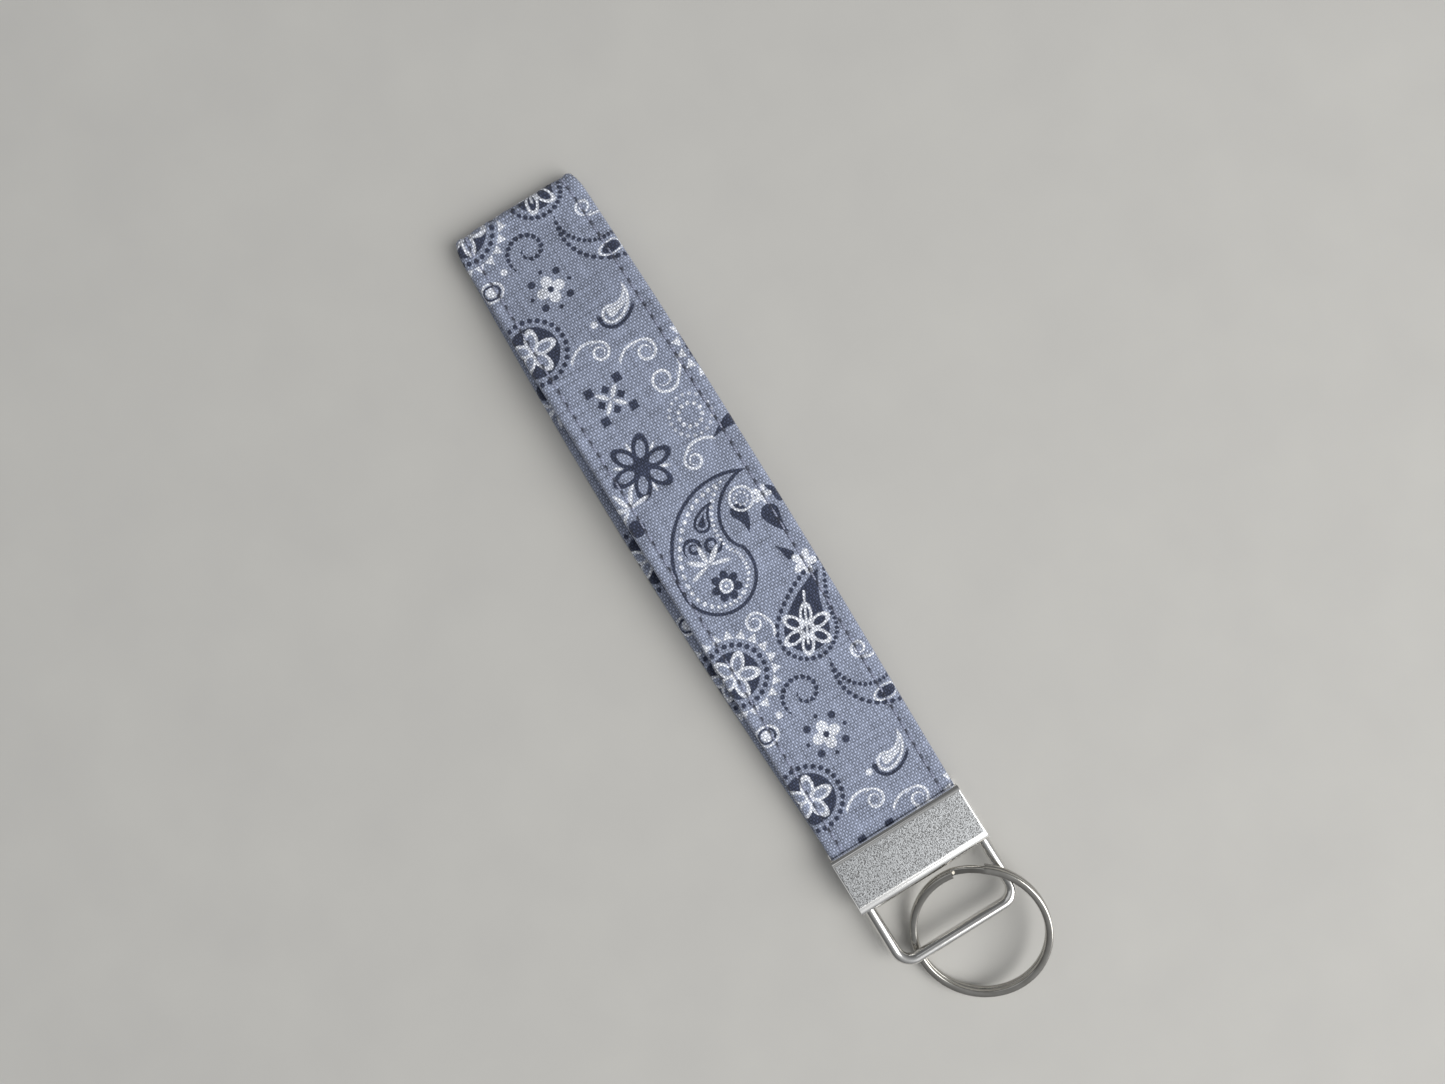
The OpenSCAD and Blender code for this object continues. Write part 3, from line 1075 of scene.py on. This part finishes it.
print("sheet volume, cubic mm:", round(clamp_shape.calc_volume() / MM ** 3, 1))

# %% [markdown]
# The legs of the bail need slots that open like a fan as they swing. Punching them out is a
# Boolean: a wedge at each corner is taken away from the sheet, and only the web between is left.

# %% Slots for the bail's legs
SWING = math.radians(35)
WIRE_R = WIRE_D / 2
HINGE_GAP = 0.1 * MM
WEB_HALF = 9.8 * MM
CUT_PAST = 1 * MM

clamp = piece("clamp_sheet", clamp_shape, "strap", satin, ["crimp_clamp"], smooth=35)
past = END_X + CUT_PAST - HINGE.x
near_half = (WIRE_R + HINGE_GAP) / math.cos(SWING)
far_half = near_half + past * math.tan(SWING)
slot_shape = bmesh.new()
for side in (-1, 1):
    outline = [
        slot_shape.verts.new((x, side * WEB_HALF, z))
        for x, z in (
            (HINGE.x, MID_Z - near_half), (HINGE.x + past, MID_Z - far_half),
            (HINGE.x + past, MID_Z + far_half), (HINGE.x, MID_Z + near_half),
        )
    ]
    slot = Bar(slot_shape, slot_shape.faces.new(outline))
    slot.draw((0, side * (clamp_high.y - WEB_HALF + CUT_PAST), 0))
    slot.close()
slot_mesh = bpy.data.meshes.new("slots")
slot_shape.to_mesh(slot_mesh)
slot_shape.free()
cutter = bpy.data.objects.new("slots", slot_mesh)
bpy.context.scene.collection.objects.link(cutter)
slot_h = 2 * (near_half + (END_X - HINGE.x) * math.tan(SWING))
print("slot height at the closed end, mm:", round(slot_h / MM, 1))

# %% Cutting the slots
def cut_away(made, cutter):
    """The shape of a piece with a cutter's shape taken out. The cutter is removed."""
    cut = made.modifiers.new("cut", "BOOLEAN")
    cut.object = cutter
    cut.solver = "EXACT"
    made_now = made.evaluated_get(bpy.context.evaluated_depsgraph_get())
    shape = bmesh.new()
    shape.from_mesh(made_now.to_mesh())
    made.modifiers.remove(cut)
    bpy.data.objects.remove(cutter)
    return shape


slotted = cut_away(clamp, cutter)
print("slotted sheet, cubic mm:", round(slotted.calc_volume() / MM ** 3, 1))

# %% [markdown]
# The teeth stand evenly between the two rows of stitches, with one more beyond each row, so that
# no tooth cuts a thread. Each runs up into the lip a little, so the two read as one sheet.

# %% Teeth along the lips
TOOTH_W = 1.0 * MM
TOOTH_D = SHEET_T * 0.9
TOOTH_BITE = 0.6 * MM
TOOTH_PITCH = 1.8 * MM
TOOTH_ROOT = 0.1 * MM

between_rows = round(2 * ROW_Y / TOOTH_PITCH)
tooth_step = 2 * ROW_Y / between_rows
tooth_h = SHEET_T + TOOTH_BITE - LIP_R + TOOTH_ROOT
for face in (-1, 1):
    for count in range(-1, between_rows + 1):
        y = -ROW_Y + (count + 0.5) * tooth_step
        z = MID_Z + face * (MID_Z - LIP_R - tooth_h / 2 + TOOTH_ROOT)
        size = Matrix.Diagonal((TOOTH_D, TOOTH_W, tooth_h, 1))
        bmesh.ops.create_cube(
            slotted, size=1, matrix=Matrix.Translation((LIP_X + SHEET_T / 2, y, z)) @ size
        )
slotted.to_mesh(clamp.data)
slotted.free()
clamp.data.shade_smooth()
clamp.data.set_sharp_from_angle(angle=math.radians(30))
soften(clamp, 0.09 * MM)
print("clamp:", len(clamp.data.polygons), "faces,", between_rows + 2, "teeth a side")

# %% [markdown]
# ## Bail
# The bail is one length of round wire bent into a rectangle. Its butted ends meet out of sight in
# the clamp, where that side is the hinge pin, and its outer corners are wider than the hidden ones.
# It is bent flat about its own hinge first, and tilted into place once it is whole.

# %% Sizes of the bail
BAIL_CORNER_R = 2.8 * MM
HIDDEN_CORNER_R = 1.4 * MM
BUTT_HALF_GAP = 0.15 * MM
WIRE_SIDES = 28
CORNER_STEPS = 14

bail_low, bail_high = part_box("bail")
bail_middle = (bail_low.y + bail_high.y) / 2
leg_y = (bail_high.y - bail_low.y) / 2 - WIRE_R
reach = (BAR - HINGE).length
bail_rest = math.atan2(BAR.z - HINGE.z, BAR.x - HINGE.x)
up = (0, 0, 1)
print("bail at rest, degrees above level:", round(math.degrees(bail_rest), 1))

# %% The bent wire
bail_shape = bmesh.new()
start = Matrix.Translation((0, BUTT_HALF_GAP, 0)) @ Matrix.Rotation(math.pi / 2, 4, "X")
bmesh.ops.create_circle(
    bail_shape, cap_ends=True, segments=WIRE_SIDES, radius=WIRE_R, matrix=start
)
wire = Bar(bail_shape, bail_shape.faces[:][0])
wire.draw((0, leg_y - HIDDEN_CORNER_R - BUTT_HALF_GAP, 0))
wire.bend((HIDDEN_CORNER_R, leg_y - HIDDEN_CORNER_R, 0), up, -90, CORNER_STEPS)
wire.draw((reach - HIDDEN_CORNER_R - BAIL_CORNER_R, 0, 0))
wire.bend((reach - BAIL_CORNER_R, leg_y - BAIL_CORNER_R, 0), up, -90, CORNER_STEPS)
wire.draw((0, -2 * (leg_y - BAIL_CORNER_R), 0))
wire.bend((reach - BAIL_CORNER_R, BAIL_CORNER_R - leg_y, 0), up, -90, CORNER_STEPS)
wire.draw((HIDDEN_CORNER_R + BAIL_CORNER_R - reach, 0, 0))
wire.bend((HIDDEN_CORNER_R, HIDDEN_CORNER_R - leg_y, 0), up, -90, CORNER_STEPS)
wire.draw((0, leg_y - HIDDEN_CORNER_R - BUTT_HALF_GAP, 0))
wire.close()
hinge_middle = Matrix.Translation((HINGE.x, bail_middle, HINGE.z))
into_place = hinge_middle @ Matrix.Rotation(-bail_rest, 4, "Y")
bmesh.ops.transform(bail_shape, matrix=into_place, verts=bail_shape.verts)
piece("bail_wire", bail_shape, "bail", plated, ["bail"], smooth=50)

# %% [markdown]
# ## Split ring
# Flat wire is coiled twice. Each turn lies flat, and a short step in the wire takes the lower turn
# up to the upper one, which leaves the two free ends side by side at the step. The wire's section
# is a rectangle with rounded corners, swept round by the same bends as the other pieces.

# %% The ring's sizes and place
RING_R = 12.0 * MM
RING_BAND = 1.25 * MM
TURN_H = 0.95 * MM
TURN_GAP = 0.08 * MM
WIRE_ROUND = 0.3 * MM
STEP_AT = 161
STEP_SPAN = 28
TURN_STEPS = 150
STEP_STEPS = 14

ring_mount = next(mount for mount in frame["record"]["mounts"] if mount["name"] == "key_ring")
ring_centre = Vector(ring_mount["pos_m"])
ring_normal = Vector(ring_mount["axis"])
lean = -math.asin(ring_normal.y)
dip = math.atan2(ring_normal.x, ring_normal.z)
turn_pitch = TURN_H + TURN_GAP
print("ring's lean and dip, degrees:", [round(math.degrees(v), 1) for v in (lean, dip)])

# %% The coiled flat wire
ring_shape = bmesh.new()
corners = [
    ring_shape.verts.new((RING_R - RING_BAND / 2 + x, 0, z - turn_pitch / 2))
    for x, z in (
        (-RING_BAND / 2, -TURN_H / 2), (RING_BAND / 2, -TURN_H / 2),
        (RING_BAND / 2, TURN_H / 2), (-RING_BAND / 2, TURN_H / 2),
    )
]
ring_shape.faces.new(corners)
bmesh.ops.bevel(
    ring_shape, geom=corners, offset=WIRE_ROUND, affect="VERTICES", segments=3,
    profile=0.5, material=-1,
)
free_end = math.radians(STEP_AT - STEP_SPAN / 2)
bmesh.ops.rotate(ring_shape, verts=ring_shape.verts, matrix=Matrix.Rotation(free_end, 3, "Z"))
coil = Bar(ring_shape, ring_shape.faces[:][0])
centre = (0, 0, 0)
coil.bend(centre, up, STEP_SPAN - 360, TURN_STEPS)
coil.bend(centre, up, -STEP_SPAN, STEP_STEPS, turn_pitch / STEP_STEPS)
coil.bend(centre, up, STEP_SPAN - 360, TURN_STEPS)
coil.close()
turned = Matrix.Rotation(dip, 4, "Y") @ Matrix.Rotation(lean, 4, "X")
bmesh.ops.transform(
    ring_shape, matrix=Matrix.Translation(ring_centre) @ turned, verts=ring_shape.verts
)
piece("key_ring", ring_shape, "ring", ring_plate, ["split_ring"], smooth=35)

# %% [markdown]
# ## Bench and light
# The keychain lies on a plain pale bench. A flat tone looks unreal under soft light, so fine noise
# mixes two tones that are nearly the same.

# %% Bench
BENCH_HALF = 1.5

bench_finish = Finish("bench_top", Roughness=0.7, Specular_IOR_Level=0.2)
bench_place = bench_finish.node("TexCoord", {}, "Object")
bench_grain = bench_finish.grain(bench_place, 60, 4.0)
bench_finish.show(
    Base_Color=bench_finish.mix(bench_grain, (0.52, 0.51, 0.49, 1), (0.58, 0.57, 0.54, 1))
)
bench_shape = bmesh.new()
bmesh.ops.create_grid(bench_shape, x_segments=2, y_segments=2, size=BENCH_HALF)
bench_mesh = bpy.data.meshes.new("bench")
bench_shape.to_mesh(bench_mesh)
bench_shape.free()
bench_mesh.materials.append(bench_finish.material)
bench = bpy.data.objects.new("bench", bench_mesh)
bpy.context.scene.collection.objects.link(bench)
print("bench:", 2 * BENCH_HALF, "m a side")

# %% [markdown]
# A large soft light stands high on the window's side, with a dimmer one opposite that keeps the
# shadows open.

# %% Lights
LIT_PLACE = Vector((-0.06, 0, 0))


def soft_light(name, place, size, power, colour):
    """A square light that faces the middle of the object."""
    light = bpy.data.lights.new(name, "AREA")
    light.size = size
    light.energy = power
    light.color = colour
    lamp = bpy.data.objects.new(name, light)
    lamp.location = place
    lamp.rotation_euler = (LIT_PLACE - Vector(place)).to_track_quat("-Z", "Y").to_euler()
    bpy.context.scene.collection.objects.link(lamp)
    print(f"{name} light: {power} W")


soft_light("window", (0.42, 0.40, 0.62), size=0.7, power=5.6, colour=(1.0, 0.99, 0.97))
soft_light("room", (-0.5, -0.45, 0.9), size=0.8, power=0.9, colour=(0.96, 0.98, 1.0))

# %% [markdown]
# Bright metal shows what stands round it. The sky is brightest high on the window's side and dark
# at the rim and behind, so the wire has something light and something dark to reflect. How far a
# direction leans to the bright side is a dot product, and a ramp turns that into bands of light.

# %% Sky
BRIGHT_SIDE = (0.55, 0.45, 0.70)
SKY_BANDS = [(0.2, 0.15), (0.58, 0.28), (0.78, 0.46), (0.90, 1.05), (1.0, 1.4)]

world = bpy.data.worlds.new("studio")
world.use_nodes = True
sky = world.node_tree
looking = sky.nodes.new("ShaderNodeTexCoord")
facing = sky.nodes.new("ShaderNodeVectorMath")
facing.operation = "DOT_PRODUCT"
facing.inputs[1].default_value = BRIGHT_SIDE
shade_ramp = sky.nodes.new("ShaderNodeValToRGB")
while len(shade_ramp.color_ramp.elements) < len(SKY_BANDS):
    shade_ramp.color_ramp.elements.new(0.5)
for stop, (where, level) in zip(shade_ramp.color_ramp.elements, SKY_BANDS):
    stop.position = where
    stop.color = (level * 0.97, level * 0.985, level, 1)
sky.links.new(looking.outputs["Generated"], facing.inputs[0])
sky.links.new(facing.outputs["Value"], shade_ramp.inputs[0])
sky.links.new(shade_ramp.outputs[0], sky.nodes["Background"].inputs["Color"])
sky.nodes["Background"].inputs["Strength"].default_value = 1.0
bpy.context.scene.world = world
bpy.context.scene.view_settings.view_transform = "Standard"
print("sky:", len(SKY_BANDS), "bands")
